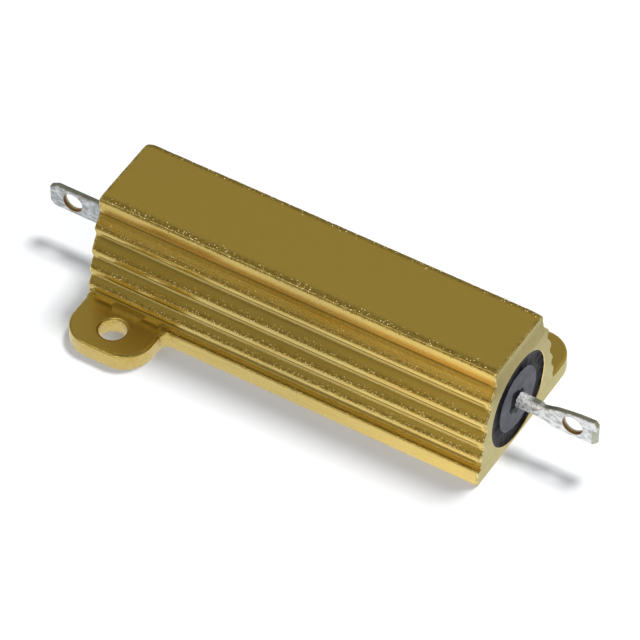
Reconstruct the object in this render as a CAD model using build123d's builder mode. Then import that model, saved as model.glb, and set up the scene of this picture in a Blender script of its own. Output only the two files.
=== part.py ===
from build123d import *
import os
from math import sqrt

# Aluminium housed wirewound resistor, gold anodised, for bolting to a chassis.
# X runs along the body, Y across it, Z up from the mounting face. All sizes are in
# millimetres. The origin is midway between the two mounting holes, on the mounting face.
os.makedirs("parts", exist_ok=True)

# Housing, an extruded aluminium section
body_length = 50.0
body_offset = 0.4
housing_height = 14.9
top_width = 10.1
top_edge_radius = 0.6
plain_side_height = 2.4
end_edge_break = 0.08

# Ribs along both long sides, with a fine scribed line above them
rib_count = 4
rib_base_width = 15.56
rib_depth = 0.44
rib_wall_height = 0.35
rib_undercut_height = 0.95
rib_nose_radius = 0.1
rib_bulge = 0.2
side_arc_radius = 30.0
scribe_width = 0.16
scribe_depth = 0.1

# Mounting plate, milled back to a ledge except for two tabs in opposite corners
plate_thickness = 2.15
plate_ledge = 1.15
plate_edge_radius = 0.25
tab_length = 10.15
tab_corner_radius = 3.5
tab_root_radius = 0.95
hole_diameter = 3.2
hole_rim_break = 0.12
hole_end_distance = 5.15
hole_side_gap = 0.21
tab_edge_distance = 3.4

# Bore for the moulded resistance element
bore_diameter = 11.4
bore_floor = 0.3

# Ceramic core, resistance wire and pressed steel end caps
core_diameter = 6.4
core_end_distance = 7.5
core_end_break = 0.3
wire_diameter = 0.36
wire_pitch = 1.1
cap_depth = 4.0
cap_wall = 0.4

# Terminals, tinned wire flattened into a blade with an eye
shank_diameter = 1.85
shank_reach = 2.3
flare_length = 0.9
blade_root_width = 2.8
fan_length = 1.2
blade_width = 3.4
blade_thickness = 0.7
blade_corner = 0.7
terminal_overhang = 9.85
eye_diameter = 2.4
eye_tip_distance = 3.0

# Silicone moulding round the element, and the sealing ring at each end of it
boss_diameter = 7.9
boss_recess = 0.05
seal_length = 2.0
seal_recess = 0.12
seal_rim_radius = 0.3

# Gap left at every seat between two pieces, and the tolerance for picking edges
seat_gap = 0.05
pick = 0.01

# Heights, radii and stations that follow from the sizes above
half_length = body_length / 2
rib_top = housing_height - plain_side_height
rib_pitch = (rib_top - plate_thickness) / rib_count
bore_radius = bore_diameter / 2
axis_height = bore_floor + bore_radius
hole_x = half_length - hole_end_distance
core_length = body_length - 2 * core_end_distance
core_radius = core_diameter / 2
cap_inner_radius = core_radius + seat_gap
cap_outer_radius = cap_inner_radius + cap_wall
cap_floor = core_length / 2 + seat_gap
cap_face = cap_floor + cap_wall
cap_mouth = cap_floor - cap_depth
wire_radius = wire_diameter / 2
coil_radius = core_radius + wire_radius + seat_gap
winding_length = 2 * (cap_mouth - seat_gap - wire_radius)
cavity_radius = max(cap_outer_radius, coil_radius + wire_radius) + seat_gap
shank_radius = shank_diameter / 2
shank_end = half_length + shank_reach
flare_end = shank_end + flare_length
fan_end = flare_end + fan_length
tip_x = half_length + terminal_overhang
eye_x = tip_x - eye_tip_distance
boss_radius = boss_diameter / 2
seal_face = half_length - seal_recess
mould_shoulder = seal_face - seal_length - seat_gap
boss_face = half_length - boss_recess


def across(station):
    """Plane across the body at this station, drawn from the middle of the body."""
    return Plane((station, body_offset, 0), x_dir=(0, 1, 0), z_dir=(1, 0, 0))


def rib_tip(height):
    """Half width over the ribs at this height, on the wide arc of the side."""
    rise = height - plate_thickness
    return rib_base_width / 2 - side_arc_radius + sqrt(side_arc_radius**2 - rise**2)


def rib_root(height):
    """Half width between the ribs at this height."""
    return rib_tip(height) - rib_depth


def at_height(*heights):
    """A test for corners of the section that lie at one of these heights."""
    return lambda corner: any(abs(corner.Y - height) < pick for height in heights)


ledge_half = rib_root(plate_thickness) + plate_ledge
hole_y = abs(body_offset) + ledge_half + hole_side_gap + hole_diameter / 2
half_width = hole_y + tab_edge_distance
scribe_half = rib_root(rib_top)
rib_feet = [plate_thickness + rib * rib_pitch for rib in range(rib_count)]
nose_rise = rib_wall_height + rib_undercut_height
nose_heights = [foot + nose_rise for foot in rib_feet]

# Plate of the housing with its two tabs
with BuildPart() as plate:
    with BuildSketch(Plane.XY):
        with Locations((0, body_offset)):
            Rectangle(body_length, 2 * ledge_half)
        for side in (-1, 1):
            with Locations((side * (half_length - tab_length / 2), side * half_width / 2)):
                Rectangle(tab_length, half_width)
        tab_corners = vertices().filter_by(lambda v: abs(v.Y) > half_width - pick)
        fillet(tab_corners, tab_corner_radius)
        inner_corners = vertices().filter_by(lambda v: abs(v.X) < half_length - pick)
        tab_roots = inner_corners.filter_by(lambda v: abs(abs(v.Y - body_offset) - ledge_half) < pick)
        fillet(tab_roots, tab_root_radius)
    extrude(amount=plate_thickness)
    fillet(edges().group_by(Axis.Z)[-1], plate_edge_radius)

# Housing: the ribbed section, its bore, and the plate it stands on
with BuildPart() as housing:
    with BuildSketch(across(0)):
        with BuildLine():
            Polyline((0, 0), (rib_root(plate_thickness), 0), (rib_root(plate_thickness), plate_thickness))
            for foot, nose_height in zip(rib_feet, nose_heights):
                root = foot + rib_wall_height
                top = foot + rib_pitch
                nose = (rib_tip(nose_height), nose_height)
                Polyline((rib_root(foot), foot), (rib_root(root), root), nose)
                SagittaArc(nose, (rib_root(top), top), -rib_bulge)
            Polyline(
                (scribe_half, rib_top),
                (scribe_half - scribe_depth, rib_top + scribe_width / 2),
                (scribe_half, rib_top + scribe_width),
                (top_width / 2, housing_height),
                (0, housing_height),
                (0, 0),
            )
        make_face()
        mirror(about=Plane.YZ)
        fillet(vertices().filter_by(at_height(*nose_heights)), rib_nose_radius)
        fillet(vertices().filter_by(at_height(housing_height)), top_edge_radius)
        with Locations((0, axis_height)):
            Circle(bore_radius, mode=Mode.SUBTRACT)
    extrude(amount=half_length, both=True)
    end_edges = edges().filter_by(lambda e: abs(e.center().X) > half_length - pick)
    chamfer(end_edges.filter_by(lambda e: e.center().Z > pick), end_edge_break)
    add(plate.part)
    with BuildSketch(across(-half_length)):
        with Locations((0, axis_height)):
            Circle(bore_radius)
    extrude(amount=body_length, mode=Mode.SUBTRACT)
    with BuildSketch(Plane.XY):
        with Locations((hole_x, hole_y), (-hole_x, -hole_y)):
            Circle(hole_diameter / 2)
    extrude(amount=plate_thickness, mode=Mode.SUBTRACT)
    hole_rims = edges().filter_by(GeomType.CIRCLE).filter_by(
        lambda e: abs(e.arc_center.X) < half_length - pick and abs(e.radius - hole_diameter / 2) < pick
    )
    chamfer(hole_rims, hole_rim_break)
housing.part.label = "housing"

# Ceramic core, a plain rod with broken ends
with BuildPart() as ceramic_core:
    with BuildSketch(across(-core_length / 2)):
        with Locations((0, axis_height)):
            Circle(core_radius)
    extrude(amount=core_length)
    chamfer(edges().filter_by(GeomType.CIRCLE), core_end_break)
ceramic_core.part.label = "ceramic_core"

# Resistance wire, wound on the core between the caps
with BuildPart() as resistance_winding:
    with BuildLine():
        turns = Helix(
            pitch=wire_pitch,
            height=winding_length,
            radius=coil_radius,
            center=(-winding_length / 2, body_offset, axis_height),
            direction=(1, 0, 0),
        )
    with BuildSketch(Plane(origin=turns @ 0, z_dir=turns % 0)):
        Circle(wire_radius)
    sweep(is_frenet=True)
resistance_winding.part.label = "resistance_winding"

# End cap, a steel cup pressed over the end of the core
with BuildPart() as end_cap_right:
    with BuildSketch(across(cap_mouth)):
        with Locations((0, axis_height)):
            Circle(cap_outer_radius)
    extrude(amount=cap_face - cap_mouth)
    with BuildSketch(across(cap_mouth)):
        with Locations((0, axis_height)):
            Circle(cap_inner_radius)
    extrude(amount=cap_depth, mode=Mode.SUBTRACT)
    fillet(edges().group_by(Axis.X)[-1], cap_wall / 2)
end_cap_right.part.label = "end_cap_right"

with BuildPart() as end_cap_left:
    mirror(end_cap_right.part, about=Plane.YZ)
end_cap_left.part.label = "end_cap_left"

# Terminal: a round shank welded to the cap, flared into a flat blade with an eye
with BuildPart() as terminal_right:
    with BuildSketch(across(cap_face)):
        with Locations((0, axis_height)):
            Circle(shank_radius)
    extrude(amount=shank_end - cap_face)
    with BuildSketch(across(shank_end)):
        with Locations((0, axis_height)):
            Circle(shank_radius)
    with BuildSketch(across(flare_end)):
        with Locations((0, axis_height)):
            Rectangle(blade_thickness, blade_root_width)
    loft()
    with BuildSketch(Plane.XZ.offset(-body_offset)):
        with BuildLine():
            Polyline(
                (flare_end, axis_height - blade_root_width / 2),
                (fan_end, axis_height - blade_width / 2),
                (tip_x, axis_height - blade_width / 2),
                (tip_x, axis_height + blade_width / 2),
                (fan_end, axis_height + blade_width / 2),
                (flare_end, axis_height + blade_root_width / 2),
                close=True,
            )
        make_face()
        chamfer(vertices().group_by(Axis.X)[-1], blade_corner)
        with Locations((eye_x, axis_height)):
            Circle(eye_diameter / 2, mode=Mode.SUBTRACT)
    extrude(amount=blade_thickness / 2, both=True)
terminal_right.part.label = "terminal_right"

with BuildPart() as terminal_left:
    mirror(terminal_right.part, about=Plane.YZ)
terminal_left.part.label = "terminal_left"

# Moulded body: silicone round the element, with a round boss at each end
with BuildPart() as moulded_body:
    with BuildSketch(across(-mould_shoulder)):
        with Locations((0, axis_height)):
            Circle(bore_radius - seat_gap)
    extrude(amount=2 * mould_shoulder)
    with BuildSketch(across(-boss_face)):
        with Locations((0, axis_height)):
            Circle(boss_radius)
    extrude(amount=2 * boss_face)
    with BuildSketch(across(-cap_face - seat_gap)):
        with Locations((0, axis_height)):
            Circle(cavity_radius)
    extrude(amount=2 * (cap_face + seat_gap), mode=Mode.SUBTRACT)
    with BuildSketch(across(-half_length)):
        with Locations((0, axis_height)):
            Circle(shank_radius + seat_gap)
    extrude(amount=body_length, mode=Mode.SUBTRACT)
moulded_body.part.label = "moulded_body"

# Sealing ring, a rubber bead between the boss and the mouth of the bore
with BuildPart() as end_seal_right:
    with BuildSketch(across(seal_face - seal_length)):
        with Locations((0, axis_height)):
            Circle(bore_radius - seat_gap)
            Circle(boss_radius + seat_gap, mode=Mode.SUBTRACT)
    extrude(amount=seal_length)
    fillet(edges().group_by(Axis.X)[-1], seal_rim_radius)
end_seal_right.part.label = "end_seal_right"

with BuildPart() as end_seal_left:
    mirror(end_seal_right.part, about=Plane.YZ)
end_seal_left.part.label = "end_seal_left"

pieces = [
    housing,
    moulded_body,
    end_seal_left,
    end_seal_right,
    terminal_left,
    terminal_right,
    end_cap_left,
    end_cap_right,
    ceramic_core,
    resistance_winding,
]
for piece in pieces:
    export_step(piece.part, f"parts/{piece.part.label}.step")
    print(piece.part.label, round(piece.part.volume, 2), "mm3")
print("holes", round(2 * hole_x, 3), "by", round(2 * hole_y, 3), "overall", round(2 * half_width, 3))
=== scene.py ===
# %% [markdown]
# The part comes first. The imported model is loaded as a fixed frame, in metres, with +X along the
# body, +Z up and the mounting face on the floor. Everything that follows is fitted around it.

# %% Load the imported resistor
import random
from math import cos, hypot, pi, radians, sin, sqrt, tan

import bmesh
import bpy
from mathutils import Matrix, Vector, noise


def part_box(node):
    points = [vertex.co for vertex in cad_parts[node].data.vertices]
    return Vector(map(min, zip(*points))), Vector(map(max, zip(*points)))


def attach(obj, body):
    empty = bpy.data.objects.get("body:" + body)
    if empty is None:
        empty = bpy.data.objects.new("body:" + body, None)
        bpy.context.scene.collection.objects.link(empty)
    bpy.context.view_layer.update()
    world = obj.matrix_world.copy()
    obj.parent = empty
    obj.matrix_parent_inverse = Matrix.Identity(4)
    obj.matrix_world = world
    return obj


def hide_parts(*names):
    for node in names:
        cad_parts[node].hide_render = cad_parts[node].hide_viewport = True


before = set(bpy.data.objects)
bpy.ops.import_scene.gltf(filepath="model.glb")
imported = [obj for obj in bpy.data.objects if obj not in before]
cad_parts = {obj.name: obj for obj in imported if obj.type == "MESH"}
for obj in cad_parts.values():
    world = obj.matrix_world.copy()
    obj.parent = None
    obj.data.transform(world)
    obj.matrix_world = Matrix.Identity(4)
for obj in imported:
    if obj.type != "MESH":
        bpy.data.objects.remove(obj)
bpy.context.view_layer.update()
print("pieces in the frame:", sorted(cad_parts))

# %% [markdown]
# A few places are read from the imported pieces, so that nothing here repeats a size that the frame
# already holds: the ends of the body, its top, and the line that the terminals lie on.

# %% Places read from the frame
MM = 0.001
housing_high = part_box("housing")[1] / MM
terminal_low, terminal_high = [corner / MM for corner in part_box("terminal_right")]
axis_y = (terminal_low.y + terminal_high.y) / 2
axis_z = (terminal_low.z + terminal_high.z) / 2
half_length = housing_high.x
top_height = housing_high.z
print("half length", round(half_length, 2), "height", round(top_height, 2))
print("the element lies at y", round(axis_y, 2), "z", round(axis_z, 2))

# %% [markdown]
# The camera stands where the photograph was taken from: high, to the right of the front, and far
# away with a long lens, so that the long edges of the body stay almost parallel. It is turned
# half a degree about its own axis. Building its matrix from three plain angles keeps every
# number readable.

# %% Camera
camera_azimuth = radians(30.634)
camera_elevation = radians(47.371)
camera_roll = radians(0.503)
camera_distance = 612.58 * MM
camera_aim = Vector((1.223, -1.587, 7.0)) * MM
camera_lens = 316.29

looking = Vector((
    -sin(camera_azimuth) * cos(camera_elevation),
    cos(camera_azimuth) * cos(camera_elevation),
    -sin(camera_elevation),
))
level = Vector((cos(camera_azimuth), sin(camera_azimuth), 0))
right = level * cos(camera_roll) + level.cross(looking) * sin(camera_roll)
above = right.cross(looking)
camera_data = bpy.data.cameras.new("camera")
camera_data.lens = camera_lens
camera_data.clip_start = 0.01
camera = bpy.data.objects.new("camera", camera_data)
camera.matrix_world = Matrix((right, above, -looking)).transposed().to_4x4()
camera.location = camera_aim - looking * camera_distance
bpy.context.scene.collection.objects.link(camera)
bpy.context.scene.camera = camera
print("camera at", [round(v, 4) for v in camera.location])

# %% [markdown]
# A material in Blender is a graph of nodes. Two small helpers keep the later cells short: one
# empties a new graph, and one adds a node, sets its options and fills or links its sockets.

# %% Helpers for materials
def new_graph(owner):
    owner.use_nodes = True
    owner.node_tree.nodes.clear()
    return owner.node_tree


def add(graph, kind, sockets=None, **options):
    node = graph.nodes.new("ShaderNode" + kind)
    for name, value in options.items():
        setattr(node, name, value)
    for name, value in (sockets or {}).items():
        if isinstance(value, bpy.types.NodeSocket):
            graph.links.new(value, node.inputs[name])
        else:
            node.inputs[name].default_value = value
    return node


def calc(graph, operation, first, second=0.0):
    return add(graph, "Math", {0: first, 1: second}, operation=operation).outputs[0]


# %% [markdown]
# The floor is plain white paper. Seen straight, it glows a little on top of the light that it
# gets, so that it reaches white and still shows the soft shadow. Mirrored in the metal it is
# white too, because that is what the upright lips of the ribs show in the photograph. Beyond
# the edge of the picture the mirrored paper falls off to the tone of the room.

# %% Floor
paper_half = 1.5
mirror_fades_from, mirror_faded_at = 38 * MM, 56 * MM
mirrored_white = (1, 1, 1, 1)
mirrored_far = (0.32, 0.285, 0.16, 1)
bpy.ops.mesh.primitive_plane_add(size=2 * paper_half, location=(0, 0, -0.02 * MM))
floor = bpy.context.object
floor.name = "floor"
paper = bpy.data.materials.new("paper")
graph = new_graph(paper)
path = add(graph, "LightPath")
matt = add(graph, "BsdfDiffuse", {"Color": (0.8, 0.8, 0.8, 1)})
glow = add(graph, "Emission", {
    "Color": (1, 1, 1, 1),
    "Strength": calc(graph, "MULTIPLY", path.outputs["Is Camera Ray"], 0.12),
})
seen = add(graph, "AddShader", {0: matt.outputs[0], 1: glow.outputs[0]})
place = add(graph, "TexCoord")
from_middle = add(graph, "VectorMath", {0: place.outputs["Object"]}, operation="LENGTH")
paper_fade = add(graph, "MapRange", {
    "Value": from_middle.outputs["Value"],
    "From Min": mirror_fades_from, "From Max": mirror_faded_at,
})
paper_tone = add(graph, "Mix", {
    0: paper_fade.outputs[0], 6: mirrored_white, 7: mirrored_far}, data_type="RGBA")
mirrored = add(graph, "Emission", {"Color": paper_tone.outputs[2], "Strength": 1.0})
by_reflection = calc(
    graph, "MAXIMUM", path.outputs["Is Glossy Ray"], path.outputs["Is Transmission Ray"])
either = add(graph, "MixShader", {0: by_reflection, 1: seen.outputs[0], 2: mirrored.outputs[0]})
add(graph, "OutputMaterial", {"Surface": either.outputs[0]})
floor.data.materials.append(paper)
print("floor", floor.dimensions[:2])

# %% [markdown]
# The room is a plain one with two soft, bright places high at the front. The left one lies along
# the noses of the ribs, and the right one gives the glints on the rounded rims of the tabs. Gold
# has almost no colour of its own without something to mirror, so the step from the white paper to
# this dim, warm room is what draws the ribs. The light that the room casts on matt things stays
# neutral, so that the shadow on the paper is a plain grey.

# %% Room
world = bpy.data.worlds.new("room")
bpy.context.scene.world = world
graph = new_graph(world)
where = add(graph, "TexCoord")
split = add(graph, "SeparateXYZ", {"Vector": where.outputs["Generated"]})
height = add(graph, "MapRange", {"Value": split.outputs["Z"], "From Min": 0.0, "From Max": 1.0})
ramp = add(graph, "ValToRGB", {"Fac": height.outputs[0]})
room_light = [
    (0.00, 0.34), (0.10, 0.38), (0.30, 0.36), (0.62, 0.33),
    (0.72, 0.42), (0.80, 0.42), (1.00, 0.26),
]
warm = (1.0, 0.90, 0.53)
shades = ramp.color_ramp
shades.elements[0].position = room_light[0][0]
shades.elements[1].position = room_light[-1][0]
for place, _ in room_light[1:-1]:
    shades.elements.new(place)
for element, (_, strength) in zip(shades.elements, room_light):
    element.color = tuple(strength * part for part in warm) + (1,)
path = add(graph, "LightPath")
cast = add(graph, "Background", {"Color": (0.385, 0.40, 0.43, 1), "Strength": 1.0})
tones = ramp.outputs[0]
bright_places = [
    ((-0.34, -0.57, 0.75), 0.955, 0.985, (1.15, 1.12, 1.0, 1)),
    ((0.25, -0.69, 0.67), 0.930, 0.975, (1.7, 1.6, 1.4, 1)),
]
for direction, fades_from, full_at, colour in bright_places:
    towards = add(graph, "VectorMath", {
        0: where.outputs["Generated"], 1: Vector(direction).normalized()}, operation="DOT_PRODUCT")
    in_place = add(graph, "MapRange", {
        "Value": towards.outputs["Value"], "From Min": fades_from, "From Max": full_at}).outputs[0]
    tones = add(graph, "Mix", {0: in_place, 6: tones, 7: colour}, data_type="RGBA").outputs[2]
sky = add(graph, "Background", {"Color": tones, "Strength": 1.0})
both = add(graph, "MixShader", {
    0: path.outputs["Is Glossy Ray"], 1: cast.outputs[0], 2: sky.outputs[0]})
add(graph, "OutputWorld", {"Surface": both.outputs[0]})
print("room", len(room_light), "shades from the floor line to overhead")

# %% [markdown]
# Two soft lamps. The larger one stands high behind the part and lays its shadow to the front. The
# smaller one, high on the right, lifts the sawn end. Both are kept out of mirror images, where
# they would draw hot lines along the rims and bleach the flat top.

# %% Lamps
def soft_lamp(name, towards, distance, size, power):
    data = bpy.data.lights.new(name, "AREA")
    data.shape = "DISK"
    data.size = size
    data.energy = power
    lamp = bpy.data.objects.new(name, data)
    direction = Vector(towards).normalized()
    lamp.location = direction * distance
    lamp.rotation_euler = direction.to_track_quat("Z", "Y").to_euler()
    bpy.context.scene.collection.objects.link(lamp)
    print(name, "stands at", [round(v, 2) for v in lamp.location])
    return lamp


key_lamp = soft_lamp("key_lamp", (0.14, 0.42, 0.90), distance=0.9, size=0.25, power=7.0)
key_lamp.visible_glossy = False
side_lamp = soft_lamp("side_lamp", (0.64, -0.41, 0.65), distance=0.9, size=0.20, power=1.0)
side_lamp.visible_glossy = False

# %% [markdown]
# The housing is an extrusion: one section, pushed through a die, sawn to length. So it is built
# the same way. The section is drawn as a list of corners, each with its own rounding, from the
# middle of the top down one side. It could be drawn with a curve object, but a plain list lets
# the worn edges be found again later, because every point keeps the wear of its corner. Worn
# parts get many points, plain ones few.

# %% Rounded path through corners
arc_step = radians(24)
plain_step = 1.2
longest_worn_step, finer_when_worn = 0.42, 0.27


def rounded_path(corners):
    points = []
    for i, (w, z, radius, wear) in enumerate(corners):
        here = Vector((w, z))
        if radius == 0 or i in (0, len(corners) - 1):
            points.append((here, wear))
            continue
        back = (Vector(corners[i - 1][:2]) - here).normalized()
        ahead = (Vector(corners[i + 1][:2]) - here).normalized()
        half_angle = back.angle(ahead) / 2
        reach = radius / tan(half_angle)
        centre = here + (back + ahead).normalized() * (radius / sin(half_angle))
        first, last = here + back * reach - centre, here + ahead * reach - centre
        steps = max(2, round((pi - 2 * half_angle) / arc_step))
        for k in range(steps + 1):
            mix = k / steps
            arm = first.lerp(last, mix).normalized() * radius
            points.append((centre + arm, wear))
    dense = [points[0]]
    for (a, wear_a), (b, wear_b) in zip(points, points[1:]):
        wear_and_shade = max(wear_a, wear_b)
        step = longest_worn_step - finer_when_worn * wear_and_shade if wear_and_shade > 0 else plain_step
        pieces = max(1, round((b - a).length / step))
        for k in range(1, pieces + 1):
            dense.append((a.lerp(b, k / pieces), wear_a + (wear_b - wear_a) * k / pieces))
    return dense


# %% [markdown]
# Under the flat top comes a plain, slightly barrelled side. Then each side carries four ribs: a
# long slope runs out to a sharp nose, whose upright lip overhangs a narrow notch where the next
# slope begins. A scribed line runs along the first slope, and a low step leads onto the ledge of
# the base. The noses and lips are given one by one, because on the real extrusion they are not
# quite evenly spaced. Each corner has its place across and up, its rounding and its wear. Wear
# above zero is metal that gets rubbed; below zero it marks painted shade in the notches and at the
# low step.

# %% Section of the body
rib_noses = [(6.40, 11.25), (7.11, 8.45), (7.62, 5.98), (8.00, 3.77)]
lip_heights = [0.56, 0.62, 0.55, 0.58]
wall_ends = [0.80, 0.72, 0.62, 0.50]
notch_depth = 0.30
nose_radius = 0.08
worn_slope = 0.45
ledge_half = 8.49
ledge_top = 2.145
# deep_notch_shade and faint_notch_shade are negative wear: painted shade in the notches
plain, deep_notch_shade, faint_notch_shade = 0.04, -1.0, -0.42

side = [
    (0.0, top_height, 0, 0), (3.8, top_height, 0, 0.0), (4.45, top_height, 0, 0.2),
    (4.92, top_height, 0.13, 0.7), (5.13, 14.80, 0.06, 1.0), (5.31, 14.62, 0.12, 0.5),
    (5.335, 14.3, 0, plain), (5.325, 13.95, 0, plain), (5.285, 13.5, 0, plain),
    # the -0.6 at the low step is painted shade in its crease
    (5.23, 13.1, 0, plain), (5.18, 12.79, 0, plain), (5.17, 12.70, 0.03, -0.6),
    (5.40, 12.43, 0, plain), (5.375, 12.36, 0.02, plain),
]
for nose, lip, wall in zip(rib_noses, lip_heights, wall_ends):
    start = Vector(side[-1][:2])
    slope = (Vector(nose) - start).normalized()
    side.append((nose[0] - slope.x * worn_slope, nose[1] - slope.y * worn_slope, 0, 0.30))
    side.append((nose[0], nose[1], nose_radius, 1.0))
    side.append((nose[0] - 0.01, nose[1] - 0.16, 0, plain))
    side.append((nose[0] - 0.03, nose[1] - lip, 0.05, plain))
    for out, down, rounding, wear in (
        (0.0, 0.08, 0.05, deep_notch_shade), (0.01, 0.43, 0, deep_notch_shade), (0.02, 0.46, 0, faint_notch_shade),
        (0.04, wall, 0, faint_notch_shade),
    ):
        side.append((nose[0] - notch_depth + out, nose[1] - lip - down, rounding, wear))
side += [
    (7.86, 2.58, 0.03, 0.1), (7.87, ledge_top, 0.03, 0.05), (ledge_half, ledge_top, 0.12, 0.4),
    (ledge_half, 1.8, 0, 0.03), (ledge_half, 0.01, 0.1, 0.05), (0.0, 0.01, 0, 0.0),
]
half_section = rounded_path(side)
section = half_section + [(Vector((-p.x, p.y)), wear) for p, wear in reversed(half_section[1:-1])]
print("section of", len(section), "points")

# %% [markdown]
# The section is swept along the body in short steps. A cube with many cuts would also do, but
# here each step can be treated on its own: near the sawn ends the whole section draws in a
# little, and the noses draw in more, as they do after the parts have been tumbled. The direction
# to draw in is taken across a short piece of the outline, so that small corners don't cross over.

# %% Sweep with drawn-in ends
station_step = 0.19
end_steps = [0.0, 0.02, 0.05, 0.09, 0.14, 0.22, 0.34, 0.5, 0.7, 0.9]
inner = half_length - end_steps[-1]
count = round(2 * inner / station_step)
stations = [-half_length + d for d in end_steps[:-1]]
stations += [-inner + 2 * inner * k / count for k in range(count + 1)]
stations += [half_length - d for d in reversed(end_steps[:-1])]

points = [p for p, _ in section]
wears_and_shades = [wear for _, wear in section]
total = len(points)
look_aside = 0.3
arc_length = [0.0]
for a, b in zip(points, points[1:] + points[:1]):
    arc_length.append(arc_length[-1] + (b - a).length)
round_trip = arc_length.pop()


def point_at(place):
    place %= round_trip
    i = max(k for k in range(total) if arc_length[k] <= place)
    ahead = points[(i + 1) % total] - points[i]
    return points[i] + ahead.normalized() * (place - arc_length[i])


outward = []
for i in range(total):
    along = point_at(arc_length[i] + look_aside) - point_at(arc_length[i] - look_aside)
    outward.append(Vector((-along.y, along.x)).normalized())
print(len(stations), "stations along the body,", round(round_trip, 1), "mm round the section")

# %% [markdown]
# Tumbling also left the noses and the top edges pitted. Each pit is a small dent with its own
# place, size and depth, scattered along those edges with a fixed seed so that every run gives
# the same part. The dents are real geometry, because they break the highlights and the outline.

# %% Scatter the dents
random.seed(41)
fully_worn = 0.99
ridges = [i for i in range(1, total - 1) if wears_and_shades[i] >= fully_worn > wears_and_shades[i - 1]]
dents = []
for ridge in ridges:
    on_top = points[ridge].y > 14
    per_mm = 4.5 if on_top else 2.6
    for _ in range(int(2 * half_length * per_mm)):
        x = random.uniform(-half_length, half_length)
        aside = random.gauss(-0.05, 0.22) if on_top else random.gauss(0.0, 0.07)
        s = arc_length[ridge] + aside
        radius = random.uniform(0.13, 0.22)
        depth = radius * random.uniform(0.04, 0.20)
        dents.append((x, s, radius, depth))
print(len(ridges), "ridges with", len(dents), "dents")

# %% [markdown]
# Three things shape the sweep. The ends draw in: a small rounding takes the whole section, and
# the noses go further. The far top edge stands a little further in than the near one, which the
# photograph shows by its outline. And the dents are sorted into slots along the body, so that
# each vertex only looks at the few dents near it.

# %% Shape of the ends and of the far edge
end_rounding, rounded_within = 0.17, 0.14
nose_pull, nose_pull_within = 0.07, 0.7
usual_shift = 0.30


def drawn_in(distance, wear):
    whole = 0.0
    if distance < rounded_within:
        whole = end_rounding - sqrt(end_rounding ** 2 - (rounded_within - distance) ** 2)
    nose = nose_pull * wear * max(0.0, 1 - distance / nose_pull_within) ** 2
    return whole + nose


def far_edge_shift(x, distance):
    more, within = (0.15, 2.2) if x > 0 else (0.30, 1.1)
    return usual_shift + more * max(0.0, 1 - distance / within) ** 2


slot_width, slots_start = 0.4, 50


def slot_of(x):
    return int((x + slots_start) / slot_width)


slots = {}
for dent in dents:
    for slot in range(slot_of(dent[0] - slot_width), slot_of(dent[0] + slot_width) + 1):
        slots.setdefault(slot, []).append(dent)
print(len(slots), "slots hold the dents")

# %% [markdown]
# Now the grid is filled in, one ring of points for each station. Worn points also get a faint
# waviness from noise, because no rubbed edge is quite straight. The wear, with the marks of painted
# shade below zero, is stored in the mesh as an attribute, which the gold finish reads later.

# %% Build the swept body
far_side, far_from_height, far_blend = -3.8, 12.6, 1.4
waviness = 0.010
end_wear, end_wear_within = 0.8, 0.6
body_vertices = []
body_wear_and_shade = []
for x in stations:
    near = [d for d in slots.get(slot_of(x), []) if abs(d[0] - x) < d[2]]
    distance = half_length - abs(x)
    far_shift = far_edge_shift(x, distance)
    for i in range(total):
        inset = drawn_in(distance, wears_and_shades[i])
        if wears_and_shades[i] > 0:
            spot = Vector((x * 0.9, arc_length[i] * 2.0, 3.0))
            inset += waviness * wears_and_shades[i] * (1 + noise.noise(spot))
            for cx, cs, radius, depth in near:
                apart = hypot(x - cx, arc_length[i] - cs) / radius
                if apart < 1:
                    inset += depth * (1 - apart * apart) ** 2
        p = points[i] - outward[i] * inset
        if p.x < far_side and p.y > far_from_height:
            reach = min(1.0, far_side - p.x)
            p.x += far_shift * reach * min(1.0, (p.y - far_from_height) / far_blend)
        body_vertices.append((x * MM, (axis_y - p.x) * MM, p.y * MM))
        body_wear_and_shade.append(max(wears_and_shades[i], end_wear - distance / end_wear_within))
body_faces = []
for k in range(len(stations) - 1):
    for i in range(total):
        j = (i + 1) % total
        body_faces.append((k * total + i, k * total + j, (k + 1) * total + j, (k + 1) * total + i))
body_mesh = bpy.data.meshes.new("swept_body")
body_mesh.from_pydata(body_vertices, [], body_faces)
wear_and_shade_layer = body_mesh.attributes.new("edge_wear_and_shade", "FLOAT", "POINT")
wear_and_shade_layer.data.foreach_set("value", body_wear_and_shade)
print("swept body", len(body_mesh.vertices), "vertices")

# %% [markdown]
# The bore that holds the element runs right through, with a fine bevel at each mouth. It is a
# stack of circles, joined to the swept skin by filling the two sawn ends between outline and
# bore. That keeps the ends flat and clean, where cutting the bore with a boolean left flaws.

# %% Bore and sawn ends
bore_radius = 5.7
bore_bevel = 0.06
bore_points = 144


def on_circle(x, radius, t):
    return x * MM, (axis_y + radius * cos(t)) * MM, (axis_z + radius * sin(t)) * MM


def ring_edges(work, ring):
    pairs = zip(ring, ring[1:] + ring[:1])
    return [work.edges.get((a, b)) or work.edges.new((a, b)) for a, b in pairs]


def join_rings(work, rings):
    for low_ring, high_ring in zip(rings, rings[1:]):
        for i in range(len(low_ring)):
            j = (i + 1) % len(low_ring)
            work.faces.new((low_ring[i], low_ring[j], high_ring[j], high_ring[i]))


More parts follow.
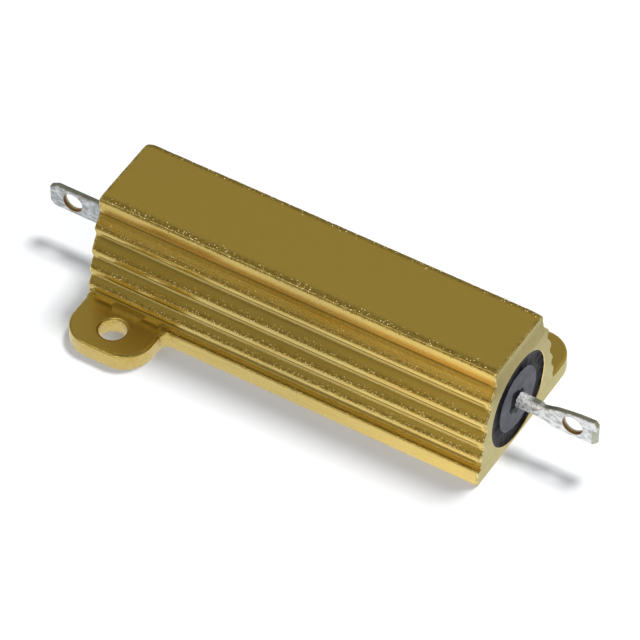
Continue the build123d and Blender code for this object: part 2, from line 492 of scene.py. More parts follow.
mouth = [(0.0, bore_bevel), (0.02, 0.038), (0.05, 0.014), (0.09, 0.0), (0.5, 0.0)]
bore_steps = [(-half_length + d, bore_radius + more) for d, more in mouth]
bore_steps += [(x, bore_radius) for x in range(-20, 21, 5)]
bore_steps += [(-x, radius) for x, radius in reversed(bore_steps[:len(mouth)])]
work = bmesh.new()
work.from_mesh(body_mesh)
skin = list(work.verts)
bore_rings = []
turns = [2 * pi * k / bore_points for k in range(bore_points)]
for x, radius in bore_steps:
    bore_rings.append([work.verts.new(on_circle(x, radius, t)) for t in turns])
join_rings(work, bore_rings)
for outline, circle in ((skin[:total], bore_rings[0]), (skin[-total:], bore_rings[-1])):
    edges = ring_edges(work, outline) + ring_edges(work, circle)
    bmesh.ops.triangle_fill(work, use_beauty=True, edges=edges)
print("open edges left:", sum(1 for edge in work.edges if len(edge.link_faces) != 2))
work.to_mesh(body_mesh)
work.free()
print("with its bore", len(body_mesh.polygons), "faces")

# %% [markdown]
# A mesh made from numbers can end up with its faces turned inwards. One helper turns finished
# bmesh work into a mesh, the other links a mesh as an object and lets bmesh turn all its faces
# outwards.

# %% Helpers for meshes and objects
def finished(work, name):
    mesh = bpy.data.meshes.new(name)
    work.to_mesh(mesh)
    work.free()
    return mesh


def make_object(name, mesh):
    work = bmesh.new()
    work.from_mesh(mesh)
    bmesh.ops.recalc_face_normals(work, faces=work.faces)
    work.to_mesh(mesh)
    work.free()
    thing = bpy.data.objects.new(name, mesh)
    bpy.context.scene.collection.objects.link(thing)
    return thing


housing = make_object("housing_body", body_mesh)

# %% [markdown]
# The two bolting tabs are drawn in plan, one at the near left and one at the far right, with a
# little fillet where they leave the ledge. Each reaches into the body, where the join hides it.

# %% Outline of a tab
tab_top = 2.15
tab_reach = 14.1
tab_root_x = 14.85
tab_corner = 3.5
root_fillet = 0.95
tab_root_depth = 2.5
hole_place = Vector((19.85, 10.70))
hole_radius = 1.6


def arc_points(centre, radius, start, end, steps):
    turns = [start + (end - start) * k / steps for k in range(steps + 1)]
    return [Vector((centre[0] + radius * cos(t), centre[1] + radius * sin(t))) for t in turns]


def tab_outline(ledge_y):
    end = half_length - 0.005
    corner_y = tab_reach - tab_corner
    line = [Vector((end, ledge_y - tab_root_depth))]
    line += arc_points((end - tab_corner, corner_y), tab_corner, 0, pi / 2, 20)
    line += arc_points((tab_root_x + tab_corner, corner_y), tab_corner, pi / 2, pi, 20)
    fillet_centre = (tab_root_x - root_fillet, ledge_y + root_fillet)
    line += arc_points(fillet_centre, root_fillet, 0, -pi / 2, 9)
    line += [Vector((tab_root_x - root_fillet, ledge_y - tab_root_depth))]
    dense = []
    for a, b in zip(line, line[1:] + line[:1]):
        pieces = max(1, round((b - a).length / 0.5))
        dense += [a.lerp(b, k / pieces) for k in range(pieces)]
    return dense


far_outline = tab_outline(axis_y + ledge_half)
near_outline = [-p for p in tab_outline(ledge_half - axis_y)]
print("tab outlines of", len(far_outline), "and", len(near_outline), "points")

# %% [markdown]
# A tab is a stack of rings: the outline drawn in along its own normals, so that its top edge is
# softly rounded. A last ring on the flat keeps the shading of the big face even. The hole gets
# the same treatment the other way round, and bmesh fills the flat faces between the two.

# %% Build the tabs
tab_rounding, hole_rounding = 0.38, 0.26


def ring_levels(radius, height, flat):
    low = 0.1
    levels = [(low + flat, 0.0)]
    levels += [(low * (1 - sin(t)), low * (1 - cos(t))) for t in (0, pi / 6, pi / 3, pi / 2)]
    for k in range(7):
        t = k / 6 * pi / 2
        levels.append((radius * (1 - cos(t)), height - radius * (1 - sin(t))))
    return levels + [(radius + flat, height)]


def loop_rings(work, loop, levels, sign):
    size = len(loop)
    rings = []
    for inset, z in levels:
        ring = []
        for i in range(size):
            along = loop[(i + 1) % size] - loop[i - 1]
            q = loop[i] + Vector((-along.y, along.x)).normalized() * sign * inset
            ring.append(work.verts.new((q.x * MM, q.y * MM, z * MM)))
        rings.append(ring)
    join_rings(work, rings)
    return rings[0], rings[-1]


def tab_mesh(name, loop, centre):
    work = bmesh.new()
    circle = arc_points(centre, hole_radius, 0, 2 * pi, 72)[:-1]
    outer = loop_rings(work, loop, ring_levels(tab_rounding, tab_top, 0.08), 1)
    hole = loop_rings(work, circle, ring_levels(hole_rounding, tab_top, 0.06), -1)
    for outer_ring, hole_ring in zip(outer, hole):
        edges = ring_edges(work, outer_ring) + ring_edges(work, hole_ring)
        bmesh.ops.triangle_fill(work, use_beauty=True, edges=edges)
    return finished(work, name)


far_tab = make_object("far_tab", tab_mesh("far_tab", far_outline, hole_place))
near_tab = make_object("near_tab", tab_mesh("near_tab", near_outline, -hole_place))
print("tabs of", len(far_tab.data.polygons), "faces each")

# %% [markdown]
# On the real part the tabs are of one piece with the body, so body and tabs are joined with
# boolean modifiers, which leave one closed skin. Letting them overlap would show a seam.

# %% Join the tabs to the body
def combine(target, other, operation):
    joint = target.modifiers.new(operation.lower(), "BOOLEAN")
    joint.operation = operation
    joint.solver = "MANIFOLD"
    joint.object = other
    graph_now = bpy.context.evaluated_depsgraph_get()
    result = bpy.data.meshes.new_from_object(target.evaluated_get(graph_now))
    target.modifiers.clear()
    target.data = result
    bpy.data.objects.remove(other)


combine(housing, far_tab, "UNION")
combine(housing, near_tab, "UNION")
triangles = sum(len(face.vertices) - 2 for face in housing.data.polygons)
print("housing", triangles, "triangles, attributes", [a.name for a in housing.data.attributes])

# %% [markdown]
# Smooth shading is kept to the rounded parts: edges steeper than 34 degrees stay sharp, and
# weighted normals let each large flat face keep its own direction right up to its edge.

# %% Shading of the housing
def shade(thing, angle):
    mesh = thing.data
    mesh.shade_smooth()
    mesh.set_sharp_from_angle(angle=radians(angle))
    weigh = thing.modifiers.new("weighted", "WEIGHTED_NORMAL")
    weigh.keep_sharp = True
    graph_now = bpy.context.evaluated_depsgraph_get()
    result = bpy.data.meshes.new_from_object(thing.evaluated_get(graph_now))
    thing.modifiers.clear()
    thing.data = result


shade(housing, 34)
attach(housing, "root")
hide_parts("housing")

# %% [markdown]
# The terminals are solder-coated copper: a round shank that was squeezed flat into a blade and
# pierced with an eye. A loft does this well: a row of outlines from round to flat, each a
# squared-off ellipse, given by its upper and lower reach, half its thickness and how square it is.
# The dip in molten solder left the surface crinkled, so every point is nudged by smooth noise.

# %% Loft for a terminal
loft_step, loft_points = 0.11, 72
eye_x, eye_radius, eye_points = 31.85, 1.2, 64


def superellipse(top, bottom, thick, square, count):
    middle = (top + bottom) / 2
    reach = (top - bottom) / 2
    ring = []
    for k in range(count):
        t = 2 * pi * (k + 0.5) / count
        c = abs(cos(t)) ** (2 / square) * (1 if cos(t) > 0 else -1)
        d = abs(sin(t)) ** (2 / square) * (1 if sin(t) > 0 else -1)
        ring.append((thick * c, middle + reach * d))
    return ring


def between(rows, x):
    for low_row, high_row in zip(rows, rows[1:]):
        if low_row[0] <= x <= high_row[0]:
            mix = (x - low_row[0]) / (high_row[0] - low_row[0])
            return [a + (b - a) * mix for a, b in zip(low_row[1:], high_row[1:])]
    return rows[-1][1:]


def capped(work, rings, name):
    join_rings(work, rings)
    work.faces.new(rings[0])
    work.faces.new(rings[-1])
    return finished(work, name)


def terminal_mesh(name, rows, side, crinkle):
    work = bmesh.new()
    first, last = rows[0][0], rows[-1][0]
    steps = round((last - first) / loft_step)
    rings = []
    for k in range(steps + 1):
        x = first + (last - first) * k / steps
        top, bottom, thick, square = between(rows, x)
        ring = []
        for across, up in superellipse(top, bottom, thick, square, loft_points):
            spot = Vector((x, across, up))
            rough = noise.noise(spot * 2.6 + Vector((side * 9, 0, 0))) * 0.6
            rough += noise.noise(spot * 6) * 0.4
            pull = 1 - crinkle * (0.5 + 0.5 * rough) if k > 2 else 1
            ring.append(work.verts.new((
                side * x * MM, (axis_y + across * pull) * MM, (axis_z + up * pull) * MM)))
        rings.append(ring)
    return capped(work, rings, name)


def drill(name, centre_x, radius):
    work = bmesh.new()
    rings = []
    for across, more in ((-2, 0), (-0.36, 0.05), (-0.28, 0), (0.28, 0), (0.36, 0.05), (2, 0)):
        ring = []
        for k in range(eye_points):
            t = 2 * pi * k / eye_points
            wobble = 1 + 0.02 * sin(3 * t + 1)
            ring.append(work.verts.new((
                (centre_x + (radius + more) * wobble * cos(t)) * MM, (axis_y + across) * MM,
                (axis_z + (radius + more) * wobble * sin(t)) * MM)))
        rings.append(ring)
    return make_object(name, capped(work, rings, name))


inner_end = terminal_low.x
tip = terminal_high.x
print("terminals reach from", round(inner_end, 2), "to", round(tip, 2))

# %% [markdown]
# The right terminal widens upwards only, as it was squeezed off centre. Its upper tip corner is
# nipped off and the lower one sheared at a slant, which a small wedge cuts away. Each row holds
# the place along the part, the upper and lower reach, half the thickness and the squareness.

# %% Right terminal
right_rows = [
    (inner_end, 0.925, -0.925, 0.925, 2.0), (27.2, 0.925, -0.925, 0.925, 2.0),
    (27.75, 0.91, -0.95, 0.86, 2.1), (28.0, 0.86, -1.04, 0.66, 2.6),
    (28.2, 0.82, -1.18, 0.36, 6.0), (28.7, 0.93, -1.38, 0.345, 8.0),
    (29.3, 1.12, -1.57, 0.34, 9.0), (30.0, 1.35, -1.68, 0.34, 9.0),
    (31.2, 1.57, -1.72, 0.34, 9.0), (32.5, 1.75, -1.72, 0.34, 9.0),
    (34.45, 1.85, -1.70, 0.34, 9.0), (tip - 0.05, 1.48, -1.68, 0.34, 9.0),
    (tip, 1.42, -1.62, 0.29, 7.0),
]
right_mesh = terminal_mesh("terminal_right_blade", right_rows, 1, 0.045)
terminal_right = make_object("terminal_right_blade", right_mesh)
combine(terminal_right, drill("eye_right", eye_x, eye_radius), "DIFFERENCE")
shear_from = Vector((34.2, axis_y - 0.36))
shear_to = Vector((tip, axis_y + 0.36))
lean = shear_to - shear_from
plan = [shear_from - lean * 0.4, shear_to + lean * 0.5, Vector((36.5, axis_y - 0.9))]
work = bmesh.new()
low_ring, high_ring = [
    [work.verts.new((q.x * MM, q.y * MM, (axis_z + up) * MM)) for q in plan] for up in (-3.0, 0.6)
]
wedge = make_object("wedge", capped(work, [low_ring, high_ring], "wedge"))
combine(terminal_right, wedge, "DIFFERENCE")
print("right terminal", len(terminal_right.data.polygons), "faces")

# %% [markdown]
# The left terminal is squeezed evenly, so it shows its full width close to the body. One corner
# of its tip is cut off and the other is round.

# %% Left terminal
left_rows = [
    (inner_end, 0.925, -0.925, 0.925, 2.0), (27.0, 0.925, -0.925, 0.925, 2.0),
    (27.4, 1.15, -1.15, 0.74, 2.6), (27.9, 1.50, -1.50, 0.45, 5.0),
    (28.5, 1.70, -1.70, 0.35, 8.0), (33.85, 1.70, -1.70, 0.34, 9.0),
    (34.1, 1.57, -1.67, 0.34, 9.0), (34.4, 1.41, -1.53, 0.34, 9.0),
    (34.65, 1.28, -1.30, 0.34, 9.0), (tip - 0.04, 1.19, -1.0, 0.34, 9.0),
    (tip, 1.14, -0.85, 0.29, 7.0),
]
left_mesh = terminal_mesh("terminal_left_blade", left_rows, -1, 0.03)
terminal_left = make_object("terminal_left_blade", left_mesh)
combine(terminal_left, drill("eye_left", -eye_x, eye_radius), "DIFFERENCE")
for blade, node in ((terminal_right, "terminal_right"), (terminal_left, "terminal_left")):
    shade(blade, 40)
    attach(blade, "root")
    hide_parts(node)
print("left terminal", len(terminal_left.data.polygons), "faces")

# %% [markdown]
# The gap between the boss and the bore is filled with black sealant, which crept up both walls
# and set with a hollow, uneven face. A ring is turned in small steps and its face is lowered in
# the middle, with noise round the circle. Reading the depth from the frame keeps it in place.

# %% Sealing rings
boss_radius = 3.95
seal_low, seal_high = [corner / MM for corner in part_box("end_seal_right")]
seal_outer, seal_inner = bore_radius - 0.004, boss_radius + 0.006
seal_points, face_steps = 160, 22
crept_up, sagged, uneven_sag = 0.045, 0.20, 0.10


def seal_mesh(name, side, seed):
    work = bmesh.new()
    rings = [[] for _ in range(face_steps + 3)]
    for k in range(seal_points):
        t = 2 * pi * k / seal_points
        wander = noise.noise(Vector((cos(t) * 1.6, sin(t) * 1.6, seed)))
        creep = 0.03 * noise.noise(Vector((cos(t) * 6, sin(t) * 6, seed + 5)))
        profile = [(seal_low.x, seal_outer)]
        for m in range(face_steps + 1):
            mix = m / face_steps
            radius = seal_outer + (seal_inner - bore_radius) * mix
            sag = sin(pi * min(1.0, mix * (1.0 + 0.25 * wander))) ** 0.8
            spot = Vector((radius * cos(t) * 1.1, radius * sin(t) * 1.1, seed + 2))
            height = seal_high.x + crept_up + creep - (sagged + uneven_sag * wander) * sag
            height += 0.022 * noise.noise(spot) + 0.010 * noise.noise(spot * 3.1)
            profile.append((min(height, half_length - 0.02), radius))
        profile.append((seal_low.x, seal_inner))
        for ring, (x, radius) in zip(rings, profile):
            ring.append(work.verts.new(on_circle(side * x, radius, t)))
    join_rings(work, rings + rings[:1])
    return finished(work, name)


seals = []
for name, node, direction, seed in (
    ("sealant_right", "end_seal_right", 1, 3.0), ("sealant_left", "end_seal_left", -1, 8.0),
):
    ring = make_object(name, seal_mesh(name, direction, seed))
    shade(ring, 60)
    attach(ring, "root")
    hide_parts(node)
    seals.append(ring)
print("sealing rings from", round(seal_low.x, 2), "to", round(seal_high.x, 2))

# %% [markdown]
# Where each shank leaves the boss, a little sealant was smeared round it. It is a low lump with
# a ragged edge, thickest against the shank.

# %% Smears at the shanks
boss_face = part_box("moulded_body")[1].x / MM
shank_side, smear_inner = 0.88, 0.93
smear_points, smear_steps = 96, 9
smear_reach, smear_height = 1.6, 0.17


def smear_mesh(name, side, seed):
    work = bmesh.new()
    rings = [[] for _ in range(smear_steps + 3)]
    for k in range(smear_points):
        t = 2 * pi * k / smear_points
        ragged = noise.noise(Vector((cos(t) * 1.3, sin(t) * 1.3, seed)))
        ragged += 0.5 * noise.noise(Vector((cos(t) * 4, sin(t) * 4, seed)))
        outer = smear_reach + 0.7 * ragged - 0.25 * cos(t)
        profile = [(boss_face - 0.06, shank_side), (boss_face + 0.15, shank_side)]
        for m in range(smear_steps):
            mix = m / (smear_steps - 1)
            radius = smear_inner + (outer - smear_inner) * mix
            spot = Vector((radius * cos(t), radius * sin(t), seed)) * 4
            rise = smear_height * (1 - mix) ** 1.4 * (1 + 0.6 * noise.noise(spot))
            rise += 0.015 * (1 - mix)
            profile.append((boss_face + rise - 0.002, radius))
        profile.append((boss_face - 0.06, outer - 0.02))
        for ring, (x, radius) in zip(rings, profile):
            ring.append(work.verts.new(on_circle(side * x, radius, t)))
    join_rings(work, rings + rings[:1])
    return finished(work, name)


for name, direction, seed in (("smear_right", 1, 21.0), ("smear_left", -1, 27.0)):
    lump = make_object(name, smear_mesh(name, direction, seed))
    shade(lump, 60)
    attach(lump, "root")
    seals.append(lump)
print("boss face at", round(boss_face, 2))

# %% [markdown]
# Now the finishes. Every pattern is laid in millimetres of the part itself, so that it stays put
# from any side. The nodes are the same few over and over: noise, a range that is spread to
# another range, a product of two masks, a blend of two colours and a bump. Each gets a helper,
# and so do the start and the end of a finish, which are always the same.

# %% Helpers for the finishes
def millimetres(graph, stretch=(1, 1, 1)):
    place = add(graph, "TexCoord")
    scale = tuple(part / MM for part in stretch)
    return add(graph, "Mapping", {"Vector": place.outputs["Object"], "Scale": scale}).outputs[0]


def start_finish(name):
    finish = bpy.data.materials.new(name)
    graph = new_graph(finish)
    return finish, graph, millimetres(graph)


def end_finish(graph, sockets):
    shader = add(graph, "BsdfPrincipled", sockets)
    add(graph, "OutputMaterial", {"Surface": shader.outputs[0]})


def cloud(graph, vector, scale, detail=3.0, roughness=0.5):
    return add(graph, "TexNoise", {
        "Vector": vector, "Scale": scale, "Detail": detail, "Roughness": roughness}).outputs["Fac"]


def spread(graph, value, low, high, to_low=0.0, to_high=1.0):
    return add(graph, "MapRange", {
        "Value": value, "From Min": low, "From Max": high, "To Min": to_low, "To Max": to_high,
    }).outputs[0]


def times(graph, first, second):
    return calc(graph, "MULTIPLY", first, second)


def blend(graph, factor, first, second, way="MIX"):
    return add(graph, "Mix", {0: factor, 6: first, 7: second},
               data_type="RGBA", blend_type=way).outputs[2]


def raised(graph, height, distance, before=None):
    sockets = {"Height": height, "Distance": distance * MM}
    if before is not None:
        sockets["Normal"] = before
    return add(graph, "Bump", sockets).outputs[0]


def directions(graph):
    return add(graph, "SeparateXYZ", {"Vector": add(graph, "NewGeometry").outputs["Normal"]})


def dress(piece, finish):
    piece.data.materials.clear()
    piece.data.materials.append(finish)


print("helpers for the finishes are ready")

# %% [markdown]
# Gold anodising is a clear dyed skin on bright metal, so the shader is a metal with a coloured
# reflection. Masks tell the parts of the housing apart: the flat top, the sides, the sawn ends,
# and the worn edges and the marks of painted shade, which were stored in the mesh while it was
# built.

# %% Masks of the gold finish
gold, graph, on_part = start_finish("gold_anodised")
along = millimetres(graph, (0.12, 1, 1))
where = add(graph, "SeparateXYZ", {"Vector": on_part})
height = where.outputs["Z"]
off_middle = calc(graph, "ABSOLUTE", where.outputs["X"])
facing = directions(graph)
level_face = spread(graph, facing.outputs["Z"], 0.90, 0.985)
on_sides = calc(graph, "SUBTRACT", 1.0, level_face)
high_up = spread(graph, height, top_height - 0.25, top_height - 0.1)
flat_top = times(graph, level_face, high_up)
endways = spread(graph, calc(graph, "ABSOLUTE", facing.outputs["X"]), 0.86, 0.95)
outside_bore = spread(graph, off_middle, half_length - 0.5, half_length - 0.3)
sawn = times(graph, endways, outside_bore)
wear_and_shade = add(graph, "Attribute", attribute_name="edge_wear_and_shade").outputs["Fac"]
# above_nose and top_edge mark where painted shade goes
above_nose = times(graph, spread(graph, wear_and_shade, 0.12, 0.5), spread(graph, wear_and_shade, 0.98, 0.7))
near_top = spread(graph, height, 14.3, 14.5)
top_edge = times(graph, near_top, spread(graph, wear_and_shade, 0.5, 0.95))
print("masks made with", len(graph.nodes), "nodes")

# %% [markdown]
# The colour is deeper and more orange on the plain side and the first slope, in long soft clouds:
# there it is painted reflection, the gold mirrored in the gold of the ribs nearby. Lower down the
# dye is deeper in patches. A dull smoke lies over the sides, and towards the right end they come
# out paler.

# %% Dye and painted reflection of the gold finish
plain_dye, orange_dye_and_reflection = (0.64, 0.495, 0.16, 1), (0.62, 0.375, 0.06, 1)
smoky_dye = (0.46, 0.34, 0.10, 1)
lightening = (1.42, 1.36, 1.25, 1)
# Painted reflection: the upper band of the sides is turned deeper orange, like gold mirrored in
# gold.
upper_band = times(graph, spread(graph, height, 10.9, 11.6), spread(graph, height, 14.45, 13.5))
long_clouds = spread(graph, cloud(graph, along, 0.9, 4.0), 0.38, 0.68)
painted_orange_reflection = times(graph, upper_band, spread(graph, long_clouds, 0, 1, 0.5, 1.0))
patches = spread(graph, cloud(graph, along, 0.55, 3.0, 0.6), 0.52, 0.70)
lower = times(graph, patches, times(graph, on_sides, 0.6))
dye_and_reflection = blend(graph, calc(graph, "MAXIMUM", painted_orange_reflection, lower), plain_dye, orange_dye_and_reflection)
smoke = spread(graph, cloud(graph, along, 2.2, 5.0, 0.65), 0.35, 0.70, 0.0, 0.6)
mottle = spread(graph, cloud(graph, on_part, 4.2, 4.0, 0.7), 0.38, 0.66, 0.0, 0.55)
smoke = times(graph, calc(graph, "MAXIMUM", smoke, mottle), on_sides)
dulled = blend(graph, smoke, dye_and_reflection, smoky_dye)
to_right = times(graph, on_sides, spread(graph, where.outputs["X"], 2.0, 22.0))
dulled = blend(graph, to_right, dulled, lightening, "MULTIPLY")
print("dye graph has", len(graph.nodes), "nodes")

# %% [markdown]
# Wear and painted shade lie over the dye. Painted shade darkens the band just above each nose, the
# top edge and the notches; the rims of the ends are rubbed pale with a painted highlight, and the
# sawn ends show saw lines. Small chips along the worn edges, bright enough to be painted glints
# too, could be painted by hand, but a cell pattern scatters them: each cell has its own random
# number, and it chips where the wear is above that number.

# %% Wear, painted shade and painted highlights of the gold finish
raw_dark, raw_light = (0.60, 0.53, 0.24, 1), (0.66, 0.60, 0.31, 1)
painted_shade_tone, notch_painted_shade = (0.30, 0.22, 0.06, 1), (0.10, 0.07, 0.02, 1)
chip_and_glint_tone, rubbed_and_highlit_rim = (1.0, 0.87, 0.46, 1), (0.88, 0.74, 0.34, 1)
saw_lines = cloud(graph, millimetres(graph, (1, 0.35, 3.0)), 2.4, 5.0, 0.7)
raw = blend(graph, spread(graph, saw_lines, 0.3, 0.7), raw_dark, raw_light)
# Painted shade in spots above each nose, and over the top edge.
in_spots = spread(graph, cloud(graph, on_part, 2.6, 5.0), 0.3, 0.6, 0.1, 0.75)
painted_shade_amount = times(graph, above_nose, in_spots)
painted_shade_amount = calc(graph, "MAXIMUM", painted_shade_amount, times(graph, top_edge, 0.75))
edged = blend(graph, painted_shade_amount, dulled, painted_shade_tone)
# Painted shade in the notches and at the low step, where the wear is below zero.
edged = blend(graph, spread(graph, wear_and_shade, -0.12, -0.9, 0.0, 0.85), edged, notch_painted_shade)
cells = add(graph, "TexVoronoi", {"Vector": on_part, "Scale": 4.6, "Randomness": 1.0})
numbers = add(graph, "SeparateColor", {"Color": cells.outputs["Color"]})
# Chips of bare metal, their colour bright enough to serve as painted glints too.
chip_and_glint_odds = spread(graph, wear_and_shade, 0.1, 0.7, 0.005, 0.30)
chip_and_glint_test = calc(graph, "SUBTRACT", chip_and_glint_odds, numbers.outputs["Green"])
chips_and_glints = times(
    graph, spread(graph, cells.outputs["Distance"], 0.38, 0.24), spread(graph, chip_and_glint_test, 0.0, 0.02))
chips_and_glints = times(graph, chips_and_glints, calc(graph, "SUBTRACT", 1.0, sawn))
edged = blend(graph, chips_and_glints, edged, chip_and_glint_tone)
# The rims of the ends are rubbed pale and carry a painted highlight.
rim = spread(graph, off_middle, half_length - 0.38, half_length - 0.12)
rim = times(graph, rim, spread(graph, cloud(graph, on_part, 1.8, 4.0), 0.42, 0.58, 0.1, 0.9))
edged = blend(graph, rim, edged, rubbed_and_highlit_rim)
coloured = blend(graph, sawn, edged, raw)
print("dye and wear have", len(graph.nodes), "nodes")

# %% [markdown]
# The surface itself: a fine grain from etching, faint drawing lines along the extrusion, and
# small sharp pits that crowd along the worn edges. The flat top was left almost smooth, and the
# rim of the plate is pebbled, as tumbling leaves it. All this is too fine for the mesh, so bump
# nodes only tilt the light on it, one after the other.

# %% Relief of the gold finish
grain = cloud(graph, on_part, 5.5, 3.0, 0.7)
lines = cloud(graph, millimetres(graph, (0.03, 1, 1)), 5.0, 3.0)
fine = calc(graph, "ADD", grain, times(graph, lines, 0.7))
not_top = calc(graph, "SUBTRACT", 1.0, flat_top)
fine = times(graph, fine, spread(graph, not_top, 0, 1, 0.12, 1.0))
plate_rim = times(graph, on_sides, spread(graph, height, 2.1, 1.9))
pebbles = times(graph, cloud(graph, on_part, 2.6, 4.0, 0.65), plate_rim)
pit = spread(graph, cells.outputs["Distance"], 0.0, 0.42, 1.0, 0.0)
pits_here = spread(graph, wear_and_shade, 0.06, 0.6, 0.01, 0.8)
is_pit = calc(graph, "SUBTRACT", pits_here, numbers.outputs["Red"])
pits = times(graph, times(graph, pit, spread(graph, is_pit, 0.0, 0.05)), -1.0)
relief = None
for layer, depth in (
    (fine, 0.012), (pebbles, 0.12), (pits, 0.07), (times(graph, saw_lines, sawn), 0.03),
):
    relief = raised(graph, layer, depth, relief)
print("relief made of four layers")

# %% [markdown]
# Roughness decides how sharply the metal mirrors the room. It changes in soft patches, and is
# higher on the low flats of the tabs, on the upper band of the sides and on the sawn ends.

# %% Shader of the gold finish
dull = spread(graph, cloud(graph, on_part, 1.6, 4.0), 0.3, 0.7, 0.10, 0.19)
low_flat = times(graph, level_face, spread(graph, height, 2.6, 2.3))
for mask, more in ((low_flat, 0.18), (upper_band, 0.12), (sawn, 0.36)):
    dull = calc(graph, "ADD", dull, times(graph, mask, more))
end_finish(graph, {
    "Base Color": coloured, "Metallic": spread(graph, chips_and_glints, 0, 1, 1.0, 0.3),
    "Roughness": dull, "Normal": relief})
dress(housing, gold)
print("gold graph has", len(graph.nodes), "nodes")

# %% [markdown]
# Three places on a terminal look different from its coat. Inside the eye the coating is thin, so
# the copper shows, with a pale burr on the far side. The upper edge, which faces up, is darker with
# painted shade, and the tip where it was sheared is paler. Each place is found by where a point is
# and which way it faces.

# %% Copper, painted shade and cut tip of the terminals
bright_copper, old_copper = (0.40, 0.19, 0.05, 1), (0.20, 0.15, 0.08, 1)
pale_burr, shaded_edge_tone = (0.62, 0.62, 0.52, 1), (0.20, 0.21, 0.20, 1)
sheared_tin = (0.50, 0.53, 0.43, 1)


def with_shaded_top_and_cut_tip(graph, coat, place, off_middle, facing):
    shaded_upper_edge = times(
        graph, spread(graph, facing.outputs["Z"], 0.75, 0.92),
        spread(graph, off_middle, 27.7, 28.2))
    sheared = times(
        graph, spread(graph, facing.outputs["X"], 0.45, 0.6),
        spread(graph, place.outputs["X"], 34.0, 34.15))
    # Painted shade: the up-facing upper edge of the blade is darkened.
    coat = blend(graph, times(graph, shaded_upper_edge, 0.75), coat, shaded_edge_tone)
    return blend(graph, sheared, coat, sheared_tin)


def copper_in_eye(graph, on_part, place, off_middle):
    off_x = calc(graph, "SUBTRACT", off_middle, eye_x)
    off_z = calc(graph, "SUBTRACT", place.outputs["Z"], axis_z)
    squares = calc(graph, "ADD", times(graph, off_x, off_x), times(graph, off_z, off_z))
    in_eye = spread(graph, calc(graph, "SQRT", squares), eye_radius + 0.11, eye_radius + 0.03)
    copper = blend(graph, cloud(graph, on_part, 2.5), bright_copper, old_copper)
    burr = spread(graph, place.outputs["Y"], axis_y - 0.02, axis_y + 0.16)
    return in_eye, blend(graph, burr, copper, pale_burr)


print("copper shows within", eye_radius + 0.11, "mm of the middle of each eye")

# %% [markdown]
# The round shank is paler than the blade and tarnished in marks. On the side that is turned away
# from the front it is darkened with painted shade. The marks are noise, so they look scattered and
# are still the same on every run.

# %% Shank of the terminals
pale_shank, tarnish_and_shade_tone = (0.93, 0.93, 0.93, 1), (0.12, 0.13, 0.09, 1)
shank_end, shank_fade = 28.3, 0.7


def with_shank(graph, coat, on_part, off_middle, facing):
    on_shank = spread(graph, off_middle, shank_end, shank_end - shank_fade)
    marks = spread(graph, cloud(graph, on_part, 3.6, 5.0, 0.65), 0.50, 0.61, 0, 0.85)
    # Painted shade on the side of the shank turned away from the front.
    painted_shade_side = times(
        graph, spread(graph, facing.outputs["Y"], -0.50, -0.15, 0, 0.95),
        spread(graph, off_middle, 25.9, 26.9))
    tarnish_and_shade_mask = times(graph, on_shank, calc(graph, "MAXIMUM", marks, painted_shade_side))
    coat = blend(graph, on_shank, coat, pale_shank)
    return on_shank, blend(graph, tarnish_and_shade_mask, coat, tarnish_and_shade_tone)


print("each shank ends", shank_end, "mm from the middle")

# %% [markdown]
# Solder coating is bright where it ran smooth and grey where it stayed grainy, so one noise
# moves colour and roughness together. Both terminals get the same graph with greys of their
# own, because the left one looks duller in the photograph.

# %% Tin finish of the terminals
def tin_finish(name, bright, grey, share):
    tin, graph, on_part = start_finish(name)
    place = add(graph, "SeparateXYZ", {"Vector": on_part})
    off_middle = calc(graph, "ABSOLUTE", place.outputs["X"])
    facing = directions(graph)
    mottled = cloud(graph, millimetres(graph, (0.6, 1, 1)), 1.7, 6.0, 0.65)
    grainy = spread(graph, mottled, share - 0.08, share + 0.10)
    coat = blend(graph, grainy, bright, grey)
    coat = with_shaded_top_and_cut_tip(graph, coat, place, off_middle, facing)
    on_shank, coat = with_shank(graph, coat, on_part, off_middle, facing)
    in_eye, copper = copper_in_eye(graph, on_part, place, off_middle)
    rougher = calc(graph, "SUBTRACT", times(graph, in_eye, 0.2), times(graph, on_shank, 0.12))
    crinkle = raised(graph, cloud(graph, on_part, 3.4, 5.0, 0.6), 0.06)
    end_finish(graph, {
        "Base Color": blend(graph, in_eye, coat, copper),
        "Metallic": spread(graph, off_middle, 27.6, 28.6, 0.35, 0.85),
        "Roughness": calc(graph, "ADD", spread(graph, grainy, 0, 1, 0.18, 0.38), rougher),
        "Normal": raised(graph, cloud(graph, on_part, 9.0, 3.0), 0.008, crinkle)})
    return tin


bright_tin = tin_finish("bright_tin", (0.86, 0.87, 0.88, 1), (0.46, 0.47, 0.47, 1), 0.53)
grey_tin = tin_finish("grey_tin", (0.63, 0.655, 0.67, 1), (0.36, 0.38, 0.39, 1), 0.46)
dress(terminal_right, bright_tin)
dress(terminal_left, grey_tin)
print("tin finishes made")

# %% [markdown]
# The moulded silicone is matt and blue-grey, with a fine skin and a few rubbed, paler places.
# The sealant is nearly black and half glossy, with a purplish bloom in patches.

# %% Silicone and sealant
silicone, graph, on_part = start_finish("silicone")
rubbed = spread(graph, cloud(graph, on_part, 0.9, 6.0, 0.65), 0.40, 0.68)
skin_grain = cloud(graph, on_part, 7.0, 4.0, 0.6)
end_finish(graph, {
    "Base Color": blend(graph, rubbed, (0.10, 0.107, 0.125, 1), (0.16, 0.168, 0.185, 1)),
    "Roughness": spread(graph, skin_grain, 0.3, 0.7, 0.55, 0.75),
    "Normal": raised(graph, skin_grain, 0.02), "Specular IOR Level": 0.2})

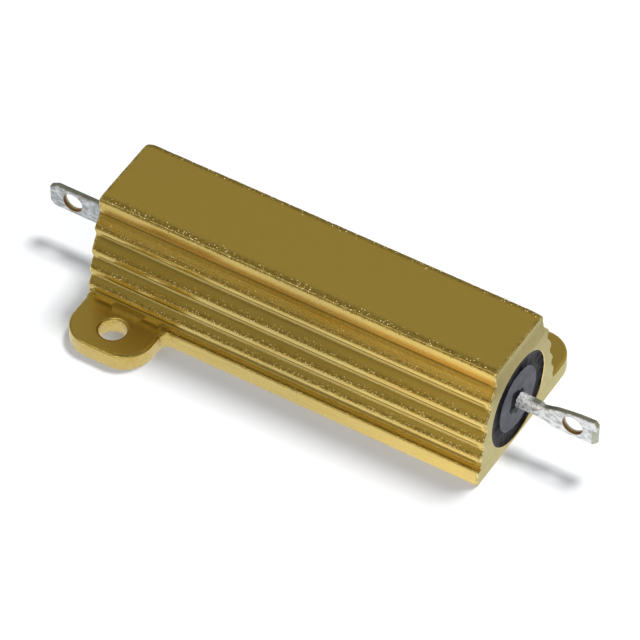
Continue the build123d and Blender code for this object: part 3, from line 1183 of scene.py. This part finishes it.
sealant, graph, on_part = start_finish("black_sealant")
bloom = spread(graph, cloud(graph, on_part, 0.45, 4.0, 0.6), 0.50, 0.68)
ripples = cloud(graph, on_part, 2.2, 4.0, 0.55)
end_finish(graph, {
    "Base Color": blend(graph, bloom, (0.004, 0.004, 0.006, 1), (0.030, 0.027, 0.042, 1)),
    "Roughness": spread(graph, bloom, 0, 1, 0.24, 0.5),
    "Normal": raised(graph, ripples, 0.05), "Specular IOR Level": 0.03})
for piece in seals:
    dress(piece, sealant)
print("silicone and sealant made")

# %% [markdown]
# The pieces inside are finished too, for anyone who opens the part: a pressed steel cap, a white
# ceramic rod with a fine tooth, and resistance wire that was heated and drawn.

# %% Finishes inside
def inner_finish(name, first, second, scale, rough, metallic, bump):
    finish, graph, on_part = start_finish(name)
    pattern = cloud(graph, on_part, scale, 5.0, 0.6)
    tooth = cloud(graph, on_part, scale * 6, 3.0)
    end_finish(graph, {
        "Base Color": blend(graph, spread(graph, pattern, 0.35, 0.65), first, second),
        "Roughness": spread(graph, tooth, 0.3, 0.7, *rough),
        "Normal": raised(graph, tooth, bump), "Metallic": metallic})
    return finish


cap_steel = inner_finish(
    "cap_steel", (0.50, 0.50, 0.50, 1), (0.38, 0.38, 0.39, 1),
    scale=1.2, rough=(0.25, 0.45), metallic=1.0, bump=0.01)
ceramic = inner_finish(
    "core_ceramic", (0.80, 0.78, 0.73, 1), (0.70, 0.67, 0.60, 1),
    scale=0.8, rough=(0.5, 0.7), metallic=0.0, bump=0.02)
wire = inner_finish(
    "resistance_wire", (0.42, 0.36, 0.30, 1), (0.28, 0.24, 0.21, 1),
    scale=2.0, rough=(0.3, 0.5), metallic=1.0, bump=0.005)
finishes = {
    "housing": gold, "moulded_body": silicone, "end_seal_left": sealant, "end_seal_right": sealant,
    "terminal_left": grey_tin, "terminal_right": bright_tin, "end_cap_left": cap_steel,
    "end_cap_right": cap_steel, "ceramic_core": ceramic, "resistance_winding": wire,
}
for name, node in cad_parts.items():
    dress(node, finishes[name])
print("finishes on", len(finishes), "pieces of the frame")

# %% [markdown]
# The colours are shown plainly, with no film look. The last cell writes down the size of the
# frame and of the dressed part, so that the two can be compared.

# %% Finish
bpy.context.scene.view_settings.view_transform = "Standard"
